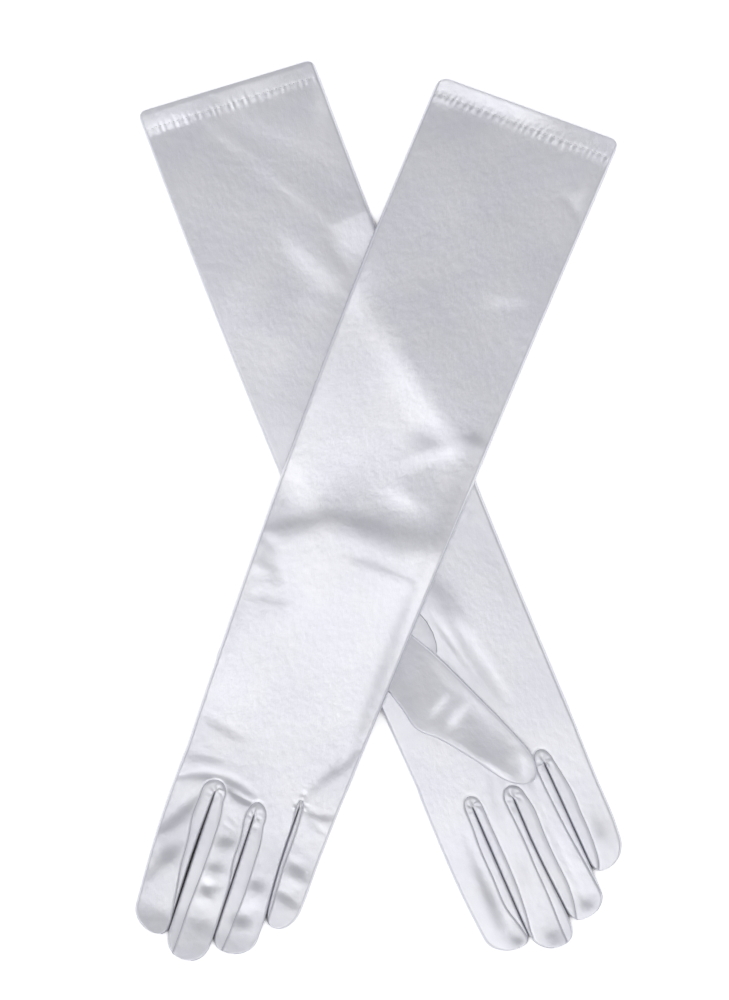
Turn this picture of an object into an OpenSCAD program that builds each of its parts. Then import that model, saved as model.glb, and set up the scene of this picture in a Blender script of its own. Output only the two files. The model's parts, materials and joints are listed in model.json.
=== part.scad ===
// A pair of long satin opera gloves, laid flat with one sleeve crossed over the other.
// The right glove lies palm up on the table with its thumb across the palm. The left
// glove lies on top, back of the hand up, with its thumb folded under the palm.
// The origin is on the table under the middle of the pair, fingers towards -Y.
// Every glove is laid out in two lengths: s runs from the cuff to the fingertips along
// the glove's middle line, and u runs across it towards the little finger.

/* [Gloves] */
// Length of the middle line, from the cuff edge to the middle fingertip
glove_len = 551; // [530:1:570]
// Flat width at the cuff, left and right glove
cuff_w = [115.6, 110.4]; // [105:0.2:120]
// Flat width at the knuckles, left and right glove
knuckle_w = [98.6, 103]; // [95:0.2:106]
// How far from the cuff the knuckles are
knuckle_s = 450; // [440:1:455]
// Turn of the middle line over the whole length
bend = 4.4; // [3.5:0.1:5]
// Direction of each cuff's middle line, away from -Y
head = [-23.4, 20.3]; // [-26:0.1:26]
// How much each cuff edge slants, at the little-finger side
cuff_slant = [-3.5, 3.3]; // [-5:0.1:5]

/* [Thickness] */
// Thickness of one layer of cloth
wall = 0.7; // [0.6:0.05:0.8]
// Height of the air-filled sleeve at its middle
sleeve_t = 8; // [7.5:0.1:8.5]
// Height of the right sleeve where the left one presses on it
pressed_t = 6.4; // [6.2:0.1:6.6]
// Height of each hand at its middle
hand_t = 7; // [6.8:0.1:7]
// Height of a folded side edge
edge_t = 2.2; // [2:0.1:2.4]
// Height of the side edge at the hem, where the cloth is doubled
hem_edge_t = 4; // [3.8:0.1:4.4]

/* [Folds] */
// Fold line of each upper sleeve, measured from the cuff
cuff_fold = [84, 98]; // [78:1:98]
// Wrist line of both gloves
wrist = 330; // [325:1:335]

/* [Fingers] */
// Root line of the index, middle, ring and little finger of each glove
finger_root = [[453, 458, 458, 442], [456, 464, 464, 450]]; // [440:1:464]
// Lines between the fingers, across each glove
finger_slit = [[-22.3, 4, 28.3], [-24.5, 1.5, 26.5]]; // [-25:0.1:29]
// Finger lengths from root line to tip
finger_len = [[89, 93, 80, 73], [89, 91, 82, 72]]; // [70:1:95]
// Sideways lean of each finger
finger_lean = [[1.2, -0.2, 0.2, 0.2], [-0.6, -0.8, -0.5, -1]]; // [-1.5:0.1:1.5]
// Height of a finger at its middle
finger_t = 5.5; // [5.2:0.1:5.5]
// How much narrower a finger's half width is just before its rounded tip
finger_taper = 2; // [1.8:0.1:2.4]
// Length of the rounded fingertip
tip_len = 14; // [12:0.5:15]
// Width of a fourchette strip at the finger root
fourchette_w = 2.8; // [2.4:0.1:3]

/* [Thumbs] */
// Middle of the thumb's root line
thumb_root = [372, -27]; // [-28:0.5:374]
// Angle of the thumb across the hand
thumb_lean = 25; // [23:0.5:27]
// Thumb length from its root line
thumb_len = 93; // [88:1:94]
// Height of a folded thumb
thumb_t = 4.2; // [4:0.1:4.2]
// Half width of the thumb's root on its inner side
thumb_root_half = 19; // [18:0.1:19]

/* [Trim] */
// Depth of the turned cuff hem
hem_depth = 11; // [10:0.5:12]
// Thickness of the hem, elastic and seam strips
trim_t = 0.5; // [0.4:0.05:0.5]
// Width of the elastic inside the hem
elastic_w = 7; // [6:0.5:8]
// Size of the blank care label
label_size = [23, 12]; // [10:1:24]

/* [Hidden] */
LEFT = 0;
RIGHT = 1;
TOWARDS_INDEX = -1;
TOWARDS_LITTLE = 1;
gap = 0.3;
// Middle of each cuff on the table
cuff_at = [[90.1, 240.6], [-93.1, 254.1]];
arc_r = glove_len / (bend * PI / 180);
// The left sleeve lies this high over the right one and comes down beyond its edges
lift_h = pressed_t + 0.4;
lift_margin = 2;
lift_fall = 22;
// The left palm lies this high over its own thumb
thumb_room = thumb_t + 0.4;
satin = "#e6e6ec";
satin_inside = "#dcdce4";
thread = "#c9c9d2";
label_white = "#f5f5f5";
// Places across a flattened sleeve, from edge to edge
sleeve_cols = [-1, -0.93, -0.8, -0.6, -0.32, 0, 0.32, 0.6, 0.8, 0.93, 1];
finger_cols = [-1, -0.8, -0.4, 0, 0.4, 0.8, 1];

// Smooth step from 0 to 1
function ramp(x) = let (c = min(1, max(0, x))) c * c * (3 - 2 * c);
function mix(a, b, x) = a + (b - a) * x;
function heading(g, s) = head[g] + bend * s / glove_len;
function along(h) = [sin(h), -cos(h)];
function across(h) = [cos(h), sin(h)];

// Table position of the point s along and u across glove g
function place(g, s, u) =
    let (a = bend * s / glove_len)
    cuff_at[g] + along(head[g]) * (arc_r - u) * sin(a)
        + across(head[g]) * (arc_r - (arc_r - u) * cos(a));

function half_w(g, s) =
    (cuff_w[g] - (cuff_w[g] - knuckle_w[g]) * pow(min(1, max(0, s) / knuckle_s), 1.7)) / 2;

// How far the table point p is outside the right glove's side edges
function outside_right(p) =
    let (v = p - cuff_at[RIGHT], f = v * along(head[RIGHT]), c = v * across(head[RIGHT]),
         s = atan2(f, arc_r - c) * glove_len / bend, u = arc_r - norm([f, arc_r - c]))
    abs(u) - half_w(RIGHT, s);

// Height of the underside of each glove
function thumb_zone(s, u) =
    thumb_room * ramp((s - wrist + 30) / 32) * (1 - ramp((s - 468) / 40)) * (1 - ramp((u - 26) / 22));
function under(g, s, u) =
    g == RIGHT ? 0
    : max(lift_h * (1 - ramp((outside_right(place(g, s, u)) - lift_margin) / lift_fall)), thumb_zone(s, u));

// Height of a glove at its middle and at its side edges
function forearm_t(g) = g == RIGHT ? pressed_t : hand_t;
function mid_t(g, s) =
    s < wrist
    ? mix(sleeve_t, forearm_t(g), ramp((s - 20) / 60))
    : mix(mix(forearm_t(g), hand_t, ramp((s - wrist) / 30)), finger_t, ramp((s - 410) / 30));
function side_t(s) = mix(hem_edge_t, edge_t, ramp((s - hem_depth) / 30));
function crown(g, s, u) = mix(mid_t(g, s), side_t(s), pow(min(1, abs(u) / half_w(g, s)), 4));

function sleeve_point(g, s, x, inset, top) =
    let (u = x * (half_w(g, s) - inset), slant = cuff_slant[g] * x * max(0, 1 - s / 60),
         xy = place(g, s + slant, u), z = under(g, s, u))
    [xy[0], xy[1], top ? z + crown(g, s, u) - inset : z + inset];

// One closed line round a flattened sleeve
function sleeve_ring(g, s, inset) = concat(
    [for (x = sleeve_cols) sleeve_point(g, s, x, inset, true)],
    [for (x = sleeve_cols) sleeve_point(g, s, -x, inset, false)]);

// Two triangles of the four-sided patch between rings i and i + 1
function patch(a, b, c, d) = [[a, b, c], [a, c, d]];
function wall_faces(n, m, first, flip) = [
    for (i = [0 : n - 2], j = [0 : m - 1])
    let (a = first + i * m + j, b = first + i * m + (j + 1) % m)
    each flip ? patch(b, a, a + m, b + m) : patch(a, b, b + m, a + m)];
function rim_faces(m, outer, inner, flip) = [
    for (j = [0 : m - 1])
    let (k = (j + 1) % m)
    each flip ? patch(outer + k, outer + j, inner + j, inner + k)
              : patch(outer + j, outer + k, inner + k, inner + j)];
function flat(rings) = [for (r = rings, p = r) p];

// A tube of cloth, open at both ends, from its outer and inner rings
module open_tube(outer, inner) {
    n = len(outer);
    m = len(outer[0]);
    polyhedron(
        points = concat(flat(outer), flat(inner)),
        faces = concat(
            wall_faces(n, m, 0, false),
            wall_faces(n, m, n * m, true),
            rim_faces(m, 0, n * m, true),
            rim_faces(m, (n - 1) * m, (2 * n - 1) * m, false)));
}

// A tube of cloth that is closed at its last rings
module blind_tube(outer, inner) {
    n = len(outer);
    m = len(outer[0]);
    polyhedron(
        points = concat(flat(outer), flat(inner)),
        faces = concat(
            wall_faces(n, m, 0, false),
            wall_faces(n, m, n * m, true),
            rim_faces(m, 0, n * m, true),
            [[for (j = [0 : m - 1]) (n - 1) * m + j]],
            [[for (j = [m - 1 : -1 : 0]) (2 * n - 1) * m + j]]));
}

// A solid strip from its rings
module strip(rings) {
    n = len(rings);
    m = len(rings[0]);
    polyhedron(
        points = flat(rings),
        faces = concat(
            wall_faces(n, m, 0, false),
            [[for (j = [m - 1 : -1 : 0]) j]],
            [[for (j = [0 : m - 1]) (n - 1) * m + j]]));
}

function steps(from, to, n) = [for (i = [0 : n]) mix(from, to, i / n)];

module sleeve_tube(g, from, to, n) {
    open_tube(
        [for (s = steps(from, to, n)) sleeve_ring(g, s, 0)],
        [for (s = steps(from, to, n)) sleeve_ring(g, s, wall)]);
}

// Sleeve, split at the fold line
module upper_sleeve(g) {
    sleeve_tube(g, 0, cuff_fold[g] - gap / 2, 7);
}
module forearm_sleeve(g) {
    sleeve_tube(g, cuff_fold[g] + gap / 2, wrist - gap / 2, g == LEFT ? 24 : 10);
}

// Fingers. Each has its own straight frame: t along it from the root, v across it.
function finger_edge(g, i) =
    let (side = knuckle_w[g] / 2, lines = concat([-side - gap], finger_slit[g], [side + gap]))
    [lines[i] + gap, lines[i + 1] - gap];
function finger_u(g, i) = let (e = finger_edge(g, i)) (e[0] + e[1]) / 2;
function finger_half(g, i) = let (e = finger_edge(g, i)) (e[1] - e[0]) / 2;
function finger_heading(g, i) = heading(g, finger_root[g][i] + finger_len[g][i] / 2) + finger_lean[g][i];
function finger_xy(g, i, t, v) =
    let (h = finger_heading(g, i))
    place(g, finger_root[g][i], finger_u(g, i)) + along(h) * t + across(h) * v;

function tip_round(t, length, r) = t <= length - r ? 1 : sqrt(max(0, 1 - pow((t - length + r) / r, 2)));
function finger_side(g, i, t) =
    (finger_half(g, i) - finger_taper * min(1, t / strip_end(g, i)))
    * tip_round(t, finger_len[g][i], tip_len);

// Every finger has a fourchette on each side that faces another finger
function has_fourchette(i, side) = side == TOWARDS_INDEX ? i > 0 : i < 3;
function strip_end(g, i) = finger_len[g][i] - tip_len;
function strip_w(g, i, side, t) =
    has_fourchette(i, side) && t < strip_end(g, i) ? mix(fourchette_w, 0.5, t / strip_end(g, i)) : 0;

function tip_stations(length, r) = [for (a = [20, 42, 62, 80]) length - r + r * sin(a)];
function finger_stations(g, i) =
    let (end = strip_end(g, i))
    concat([0, 0.3 * end, 0.65 * end, end - 0.1], tip_stations(finger_len[g][i], tip_len));

function finger_ring(g, i, t, inset) =
    let (side = finger_side(g, i, t), f = t / finger_len[g][i],
         lo = -side + strip_w(g, i, TOWARDS_INDEX, t) + inset,
         hi = side - strip_w(g, i, TOWARDS_LITTLE, t) - inset,
         mid = mix(finger_t, 2.8, ramp((f - 0.7) / 0.3)), edge = mix(2.6, 2, f),
         s = finger_root[g][i] + t, tt = min(t, finger_len[g][i] - inset * 1.2),
         cols = finger_cols,
         low = [for (x = cols) under(g, s, finger_u(g, i) + mix(lo, hi, (x + 1) / 2))])
    concat(
        [for (k = [0 : len(cols) - 1])
            let (x = cols[k], xy = finger_xy(g, i, tt, mix(lo, hi, (x + 1) / 2)))
            [xy[0], xy[1], low[k] + mix(mid, edge, pow(abs(x), 3)) - inset]],
        [for (k = [len(cols) - 1 : -1 : 0])
            let (x = cols[k], xy = finger_xy(g, i, tt, mix(lo, hi, (x + 1) / 2)))
            [xy[0], xy[1], low[k] + inset]]);

module finger(g, i) {
    blind_tube(
        [for (t = finger_stations(g, i)) finger_ring(g, i, t, 0)],
        [for (t = finger_stations(g, i)) finger_ring(g, i, t, wall)]);
}

// The strip of cloth between two fingers. It starts beyond both root lines.
module fourchette(g, i, side) {
    neighbour = finger_root[g][i + side];
    start = max(0, neighbour - finger_root[g][i]) + 1;
    rings = [for (t = steps(start, strip_end(g, i) - 1, 4))
        let (outer = side * finger_side(g, i, t), inner = outer - side * (strip_w(g, i, side, t) - 0.1),
             z = under(g, finger_root[g][i] + t, finger_u(g, i) + outer),
             h = mix(3.2, 1.8, t / strip_end(g, i)),
             a = finger_xy(g, i, t, min(outer, inner)), b = finger_xy(g, i, t, max(outer, inner)))
        [[a[0], a[1], z + h], [b[0], b[1], z + h], [b[0], b[1], z + 0.3], [a[0], a[1], z + 0.3]]];
    strip(rings);
}

// Hand. Its front edge follows the finger root lines.
hand_corners = [for (i = [0 : 3], side = [TOWARDS_INDEX, TOWARDS_LITTLE]) [i, side]];
function hand_front(g, k) =
    let (i = hand_corners[k][0], side = hand_corners[k][1],
         v = side * (finger_half(g, i) - strip_w(g, i, side, 0)),
         turn = finger_lean[g][i] + bend * finger_len[g][i] / 2 / glove_len)
    [finger_root[g][i] - 0.5 - v * sin(turn), finger_u(g, i) + v];
function hand_point(g, k, f, inset, top) =
    let (front = hand_front(g, k), s = mix(wrist + gap / 2, front[0], f), w = half_w(g, s) - inset,
         u = front[1] / half_w(g, front[0]) * w, xy = place(g, s, u), z = under(g, s, u))
    [xy[0], xy[1], top ? z + crown(g, s, u) - inset : z + inset];
function hand_ring(g, f, inset) = concat(
    [for (k = [0 : 7]) hand_point(g, k, f, inset, true)],
    [for (k = [7 : -1 : 0]) hand_point(g, k, f, inset, false)]);

module hand(g) {
    open_tube(
        [for (f = steps(0, 1, 12)) hand_ring(g, f, 0)],
        [for (f = steps(0, 1, 12)) hand_ring(g, f, wall)]);
}

// Thumb, in its own straight frame from the middle of its root line
thumb_tip = 12;
function thumb_heading(g) = heading(g, thumb_root[0]) + thumb_lean;
function thumb_xy(g, t, v) =
    place(g, thumb_root[0], thumb_root[1]) + along(thumb_heading(g)) * t + across(thumb_heading(g)) * v;
function thumb_inner(t) =
    t < 0 ? sqrt(pow(thumb_root_half, 2) - t * t)
    : mix(thumb_root_half, 14, min(1, t / 80)) * tip_round(t, thumb_len, thumb_tip);
function thumb_outer(t) =
    t < 0 ? sqrt(pow(thumb_root_half, 2) - t * t)
    : (t < 25 ? mix(thumb_root_half, 20.5, t / 25) : mix(20.5, 9, min(1, (t - 25) / 60)))
        * tip_round(t, thumb_len, thumb_tip);
thumb_z = [0, hand_t + gap];
function thumb_stations(g) = concat(
    g == LEFT ? [for (a = [80, 55, 25]) -thumb_root_half * sin(a)] : [],
    [0, 25, 50, thumb_len - thumb_tip], tip_stations(thumb_len, thumb_tip));
function thumb_ring(g, t, inset) =
    let (lo = -thumb_outer(t) + inset, hi = thumb_inner(t) - inset,
         tt = max(min(t, thumb_len - inset * 1.2), g == LEFT ? inset * 1.2 - thumb_root_half : 0),
         f = max(0, t / thumb_len), mid = mix(thumb_t, 2.6, ramp((f - 0.7) / 0.3)))
    concat(
        [for (x = finger_cols)
            let (xy = thumb_xy(g, tt, mix(lo, hi, (x + 1) / 2)))
            [xy[0], xy[1], thumb_z[g] + mix(mid, 2, pow(abs(x), 3)) - inset]],
        [for (x = finger_cols)
            let (xy = thumb_xy(g, tt, mix(lo, hi, (1 - x) / 2)))
            [xy[0], xy[1], thumb_z[g] + inset]]);

module thumb(g) {
    blind_tube(
        [for (t = thumb_stations(g)) thumb_ring(g, t, 0)],
        [for (t = thumb_stations(g)) thumb_ring(g, t, wall)]);
}

// The part of the thumb piece that is sewn into the palm and stays with it
module palm_polygon(g, points) {
    polygon([for (p = points) place(g, p[0], p[1])]);
}
module right_thumb_gusset() {
    translate([0, 0, thumb_z[RIGHT]])
        linear_extrude(thumb_t - 0.4)
            palm_polygon(RIGHT, [[342, -9.5], [362.6, -9.8], [378.2, -42.4], [376, -42.6]]);
}
module left_thumb_gusset() {
    pivot = place(LEFT, thumb_root[0], thumb_root[1]);
    linear_extrude(thumb_t)
        difference() {
            palm_polygon(LEFT,
                [thumb_root, [363.5, -7.5], [345, -6], [336, -16], [338, -34], [352, -46], [358, -47]]);
            translate(pivot)
                circle(r = thumb_root_half + 0.5, $fn = 64);
        }
}

// Cuff trim: the hem turned inside the sleeve, the elastic between the two layers,
// and the line of stitching that holds them
module cuff_ring(g, from, to, inset) {
    open_tube(
        [for (s = [from, to]) sleeve_ring(g, s, inset)],
        [for (s = [from, to]) sleeve_ring(g, s, inset + trim_t)]);
}
module cuff_hem(g) {
    cuff_ring(g, 0.3, hem_depth, wall + trim_t + 0.12);
}
module cuff_elastic(g) {
    cuff_ring(g, 2, 2 + elastic_w, wall + 0.06);
}
module hem_stitching(g) {
    rows = [hem_depth - 0.4, hem_depth + 0.4];
    lift = [0.05, 0.4];
    rings = [for (x = sleeve_cols)
        [for (c = [[0, 1], [0, 0], [1, 0], [1, 1]])
            sleeve_point(g, rows[c[0]], x * 0.99, 0, true) + [0, 0, lift[c[1]]]]];
    strip(rings);
}

// A strip of seam allowance inside the little-finger edge, lying on the lower layer.
// It runs between two lines a and b on that layer.
seam_rise = 0.8;
function raised(p, h) = [p[0], p[1], p[2] + h];
function seam_ring(a, b) = [
    raised(a, seam_rise + trim_t), raised(b, seam_rise + trim_t),
    raised(b, seam_rise), raised(a, seam_rise)];
module sleeve_side_seam(g, from, to, n) {
    strip([for (s = steps(from, to, n))
        let (a = sleeve_point(g, s, 0.8, wall, false), b = sleeve_point(g, s, 0.93, wall, false))
        seam_ring(mix(a, b, 0.15), mix(a, b, 0.85))]);
}
module upper_side_seam(g) {
    sleeve_side_seam(g, hem_depth + 5, cuff_fold[g] - gap / 2, 6);
}
module forearm_side_seam(g) {
    sleeve_side_seam(g, cuff_fold[g] + gap / 2, wrist - gap / 2, g == LEFT ? 24 : 10);
}
module hand_side_seam(g) {
    strip([for (f = steps(0, 11 / 12, 11))
        let (a = hand_point(g, 6, f, wall, false), b = hand_point(g, 7, f, wall, false))
        seam_ring(mix(a, b, 0.5), mix(a, b, 0.78))]);
}

// Blank label, sewn into the side seam under the palm side of the sleeve
module care_label() {
    s_mid = cuff_fold[RIGHT] - 8;
    rings = [for (u = steps(49 - label_size[0], 49, 4))
        let (top = crown(RIGHT, s_mid, u) - wall - 0.5,
             a = place(RIGHT, s_mid - label_size[1] / 2, u), b = place(RIGHT, s_mid + label_size[1] / 2, u))
        [[b[0], b[1], top], [a[0], a[1], top], [a[0], a[1], top - 0.3], [b[0], b[1], top - 0.3]]];
    strip(rings);
}

module right_forearm_sleeve() { color(satin) forearm_sleeve(RIGHT); }
module right_hand() { color(satin) hand(RIGHT); }
module right_thumb_base() { color(satin) right_thumb_gusset(); }
module right_thumb() { color(satin) thumb(RIGHT); }
module right_upper_sleeve() { color(satin) upper_sleeve(RIGHT); }
module right_cuff_hem() { color(satin_inside) cuff_hem(RIGHT); }
module right_cuff_elastic() { color(label_white) cuff_elastic(RIGHT); }
module right_hem_stitching() { color(thread) hem_stitching(RIGHT); }
module right_care_label() { color(label_white) care_label(); }
module right_upper_side_seam() { color(satin_inside) upper_side_seam(RIGHT); }
module right_forearm_side_seam() { color(satin_inside) forearm_side_seam(RIGHT); }
module right_hand_side_seam() { color(satin_inside) hand_side_seam(RIGHT); }
module right_index_finger() { color(satin) finger(RIGHT, 0); }
module right_middle_finger() { color(satin) finger(RIGHT, 1); }
module right_ring_finger() { color(satin) finger(RIGHT, 2); }
module right_little_finger() { color(satin) finger(RIGHT, 3); }
module right_fourchette_index() { color(satin_inside) fourchette(RIGHT, 0, TOWARDS_LITTLE); }
module right_fourchette_middle_index_side() { color(satin_inside) fourchette(RIGHT, 1, TOWARDS_INDEX); }
module right_fourchette_middle_ring_side() { color(satin_inside) fourchette(RIGHT, 1, TOWARDS_LITTLE); }
module right_fourchette_ring_middle_side() { color(satin_inside) fourchette(RIGHT, 2, TOWARDS_INDEX); }
module right_fourchette_ring_little_side() { color(satin_inside) fourchette(RIGHT, 2, TOWARDS_LITTLE); }
module right_fourchette_little() { color(satin_inside) fourchette(RIGHT, 3, TOWARDS_INDEX); }
module left_forearm_sleeve() { color(satin) forearm_sleeve(LEFT); }
module left_hand() { color(satin) hand(LEFT); }
module left_thumb_base() { color(satin) left_thumb_gusset(); }
module left_thumb() { color(satin) thumb(LEFT); }
module left_upper_sleeve() { color(satin) upper_sleeve(LEFT); }
module left_cuff_hem() { color(satin_inside) cuff_hem(LEFT); }
module left_cuff_elastic() { color(label_white) cuff_elastic(LEFT); }
module left_hem_stitching() { color(thread) hem_stitching(LEFT); }
module left_upper_side_seam() { color(satin_inside) upper_side_seam(LEFT); }
module left_forearm_side_seam() { color(satin_inside) forearm_side_seam(LEFT); }
module left_hand_side_seam() { color(satin_inside) hand_side_seam(LEFT); }
module left_index_finger() { color(satin) finger(LEFT, 0); }
module left_middle_finger() { color(satin) finger(LEFT, 1); }
module left_ring_finger() { color(satin) finger(LEFT, 2); }
module left_little_finger() { color(satin) finger(LEFT, 3); }
module left_fourchette_index() { color(satin_inside) fourchette(LEFT, 0, TOWARDS_LITTLE); }
module left_fourchette_middle_index_side() { color(satin_inside) fourchette(LEFT, 1, TOWARDS_INDEX); }
module left_fourchette_middle_ring_side() { color(satin_inside) fourchette(LEFT, 1, TOWARDS_LITTLE); }
module left_fourchette_ring_middle_side() { color(satin_inside) fourchette(LEFT, 2, TOWARDS_INDEX); }
module left_fourchette_ring_little_side() { color(satin_inside) fourchette(LEFT, 2, TOWARDS_LITTLE); }
module left_fourchette_little() { color(satin_inside) fourchette(LEFT, 3, TOWARDS_INDEX); }

right_forearm_sleeve();
right_hand();
right_thumb_base();
right_thumb();
right_upper_sleeve();
right_cuff_hem();
right_cuff_elastic();
right_hem_stitching();
right_care_label();
right_upper_side_seam();
right_forearm_side_seam();
right_hand_side_seam();
right_index_finger();
right_middle_finger();
right_ring_finger();
right_little_finger();
right_fourchette_index();
right_fourchette_middle_index_side();
right_fourchette_middle_ring_side();
right_fourchette_ring_middle_side();
right_fourchette_ring_little_side();
right_fourchette_little();
left_forearm_sleeve();
left_hand();
left_thumb_base();
left_thumb();
left_upper_sleeve();
left_cuff_hem();
left_cuff_elastic();
left_hem_stitching();
left_upper_side_seam();
left_forearm_side_seam();
left_hand_side_seam();
left_index_finger();
left_middle_finger();
left_ring_finger();
left_little_finger();
left_fourchette_index();
left_fourchette_middle_index_side();
left_fourchette_middle_ring_side();
left_fourchette_ring_middle_side();
left_fourchette_ring_little_side();
left_fourchette_little();
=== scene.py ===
"""A pair of long satin opera gloves, crossed and laid flat. Lengths in here are in millimetres
until a mesh is made. s runs along a glove from its cuff to its fingertips, u across it."""

import json
import math

import bpy
import numpy as np
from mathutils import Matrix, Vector


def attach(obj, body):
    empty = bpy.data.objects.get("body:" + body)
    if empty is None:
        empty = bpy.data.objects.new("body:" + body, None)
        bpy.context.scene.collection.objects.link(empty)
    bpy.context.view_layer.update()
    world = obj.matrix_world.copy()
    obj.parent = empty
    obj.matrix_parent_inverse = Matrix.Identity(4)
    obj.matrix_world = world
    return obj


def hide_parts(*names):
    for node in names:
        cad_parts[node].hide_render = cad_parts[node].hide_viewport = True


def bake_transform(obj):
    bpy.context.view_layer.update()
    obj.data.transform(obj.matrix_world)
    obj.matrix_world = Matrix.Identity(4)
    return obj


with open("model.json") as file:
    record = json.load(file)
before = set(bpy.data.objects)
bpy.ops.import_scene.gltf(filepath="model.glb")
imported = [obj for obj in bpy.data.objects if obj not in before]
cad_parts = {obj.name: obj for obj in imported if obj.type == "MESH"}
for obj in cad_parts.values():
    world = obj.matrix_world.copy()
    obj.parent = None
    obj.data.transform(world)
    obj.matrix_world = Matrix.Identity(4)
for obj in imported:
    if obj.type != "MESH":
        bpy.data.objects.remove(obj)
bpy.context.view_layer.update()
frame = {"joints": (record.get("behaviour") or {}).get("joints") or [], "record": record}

MM = 0.001
LEFT, RIGHT = 0, 1
SIDES = ("left", "right")
FINGERS = ("index", "middle", "ring", "little")

# ---------------------------------------------------------------- glove sizes: pairs are (left, right)
GLOVE_LEN = 551.0
BEND = math.radians(4.4)
ARC_R = GLOVE_LEN / BEND
CUFF_W = (115.6, 110.4)
KNUCKLE_W = (98.6, 103.0)
KNUCKLE_S = 450.0
CUFF_SLANT = (-3.5, 3.3)
CORNER_R = ((7.0, 6.0), (5.0, 5.0))
WRIST = 330.0
HEM = 11.0
SLEEVE_T, HAND_T, FINGER_T = 8.0, 7.0, 5.5
FOREARM_T = (7.0, 6.4)
MOUTH_T = 4.4
EDGE_ROLL = 4.0
SHADE_ROLL = 0.4
CLOTH = 0.4
CUFF_END = 100.0
WRIST_SEAM = 312.0
SPLIT = (426.0, 430.0)
SPLIT_BLEND = 12.0
# Spans along s at the cuff, from the wrist's joint, and either side of a finger's joint; no piece is bent across
# them
CUFF_FOLD = (82.0, CUFF_END)
WRIST_BEND_LEN = 20.0
FINGER_BLEND = (-2.0, 16.0)
HINGE_Z = 6.0
LIFT, LIFT_MARGIN, LIFT_FALL = 6.8, -0.5, 55.0
THUMB_T = 4.2
THUMB_ROOT = (372.0, -27.0)
THUMB_LEAN = math.radians(25)
THUMB_LEN = 95.0
THUMB_Z = (0.0, 7.3)
LABEL = (23.0, 12.0)
LABEL_AT = (90.5, 28.5)

mounts = {m["name"]: m for m in frame["record"]["mounts"]}
mouths = [mounts[side + "_cuff_mouth"] for side in SIDES]
CUFF_AT = [np.array(m["pos_m"][:2]) / MM for m in mouths]
HEAD = [math.atan2(-m["axis"][0], m["axis"][1]) for m in mouths]
joints = {j["name"]: j for j in frame["joints"]}
HAND_BODY = ("left_hand", "right_glove")

# Crotch between two fingers: where its slit starts, the slit's line (s, u), its widest gap,
# how far its edges roll, the height of the seam's arch, and the strip's width towards the index
# and the little finger (s, w)
CROTCHES = (
    (
        dict(start=451.5, line=((451, -24.8), (490, -24.6), (538, -23.4)), gap=1.05, roll=4.2, arch=7.6,
             index=((455, 7.6), (466, 8), (482, 5.8), (500, 4.6), (516, 2.4), (530, 0.8), (545, 0.3)),
             little=((455, 6.4), (462, 7.8), (480, 8.6), (500, 8.4), (520, 7.3), (540, 6.8), (556, 6.6))),
        dict(start=457, line=((457, 2.2), (490, 3), (526, 3.5)), gap=0.35, roll=3, arch=8.8,
             index=((461, 4.6), (472, 3.2), (485, 3.4), (500, 1.2), (520, 0.6), (560, 0.4)),
             little=((461, 7), (468, 8.4), (485, 9), (500, 9.3), (514, 8.8), (530, 8), (545, 6.6))),
        dict(start=442.5, line=((442, 26.1), (480, 26.8), (515, 29.3)), gap=0.12, roll=1.8, arch=4.2,
             index=((442, 1.8), (452, 0.5), (520, 0.3), (545, 0.3)),
             little=((442, 2), (452, 2.7), (480, 2.5), (505, 2.2), (520, 1.2))),
    ),
    (
        dict(start=458, line=((458, -25.6), (490, -26), (532, -26.5)), gap=0.14, roll=2.2, arch=7.4,
             index=((458, 4.4), (468, 4.6), (480, 5.5), (500, 5.4), (523, 5), (533, 2.5), (548, 0.4)),
             little=((458, 5.6), (470, 5.6), (498, 5.9), (511, 5.6), (527, 4.2), (543, 1.6), (556, 0.4))),
        dict(start=462.5, line=((462, -0.9), (490, -1.3), (536, 0.1)), gap=0.14, roll=2.2, arch=7.8,
             index=((462, 5.2), (471, 4.6), (489, 3.9), (506, 4.6), (522, 5.2), (542, 6.6), (556, 7)),
             little=((462, 7), (471, 8.8), (489, 8.5), (504, 8.2), (526, 7.8), (541, 4.6), (548, 2))),
        dict(start=450.5, line=((450, 24.6), (480, 24.9), (514, 24.9)), gap=0.14, roll=2.2, arch=8.6,
             index=((450, 5.4), (457, 5.4), (479, 4.9), (490, 4.4), (515, 2.4), (546, 0.4)),
             little=((450, 5.6), (462, 7.2), (474, 8.2), (487, 7.7), (497, 7.7), (508, 7), (520, 4.6),
                     (526, 1.5))),
    ),
)
# Fingertips: their apex s, how far back they are round, and their lean sideways at the tip
TIPS = ((543.5, 552.8, 540.5, 517), (546, 555.5, 546.5, 524.5))
TIP_LEN = ((15, 16, 15, 15), (15, 17, 14, 14))
TIP_SIDE = ((4, 0, -3.5, -2), (5, 3, -2.5, -3.5))
# The outer edges of the index and the little finger (s, u)
OUTER = (
    (((426, -50), (470, -50.4), (500, -49.4), (528, -47.4)),
     ((426, 49.9), (470, 48.6), (500, 48.2), (512, 47.2))),
    (((430, -52), (470, -53.2), (506, -53.4), (532, -52.2)),
     ((430, 51.9), (470, 50.3), (500, 49.6), (518, 47.6))),
)

PANEL_N = 22
STRIP_N = 8
ROW_STEP = 2.4
GAP = 0.25
SAME = 0.002
# Rows round a fingertip, in degrees from its side to its apex
TIP_ANGLES = (8, 16, 24, 32, 40, 48, 56, 64, 71, 77, 82, 86, 90)


def ramp(x):
    c = np.clip(x, 0, 1)
    return c * c * (3 - 2 * c)


def mix(a, b, x):
    return a + (b - a) * x


def along(h):
    return np.array([math.sin(h), -math.cos(h)])


def across(h):
    return np.array([math.cos(h), math.sin(h)])


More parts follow.
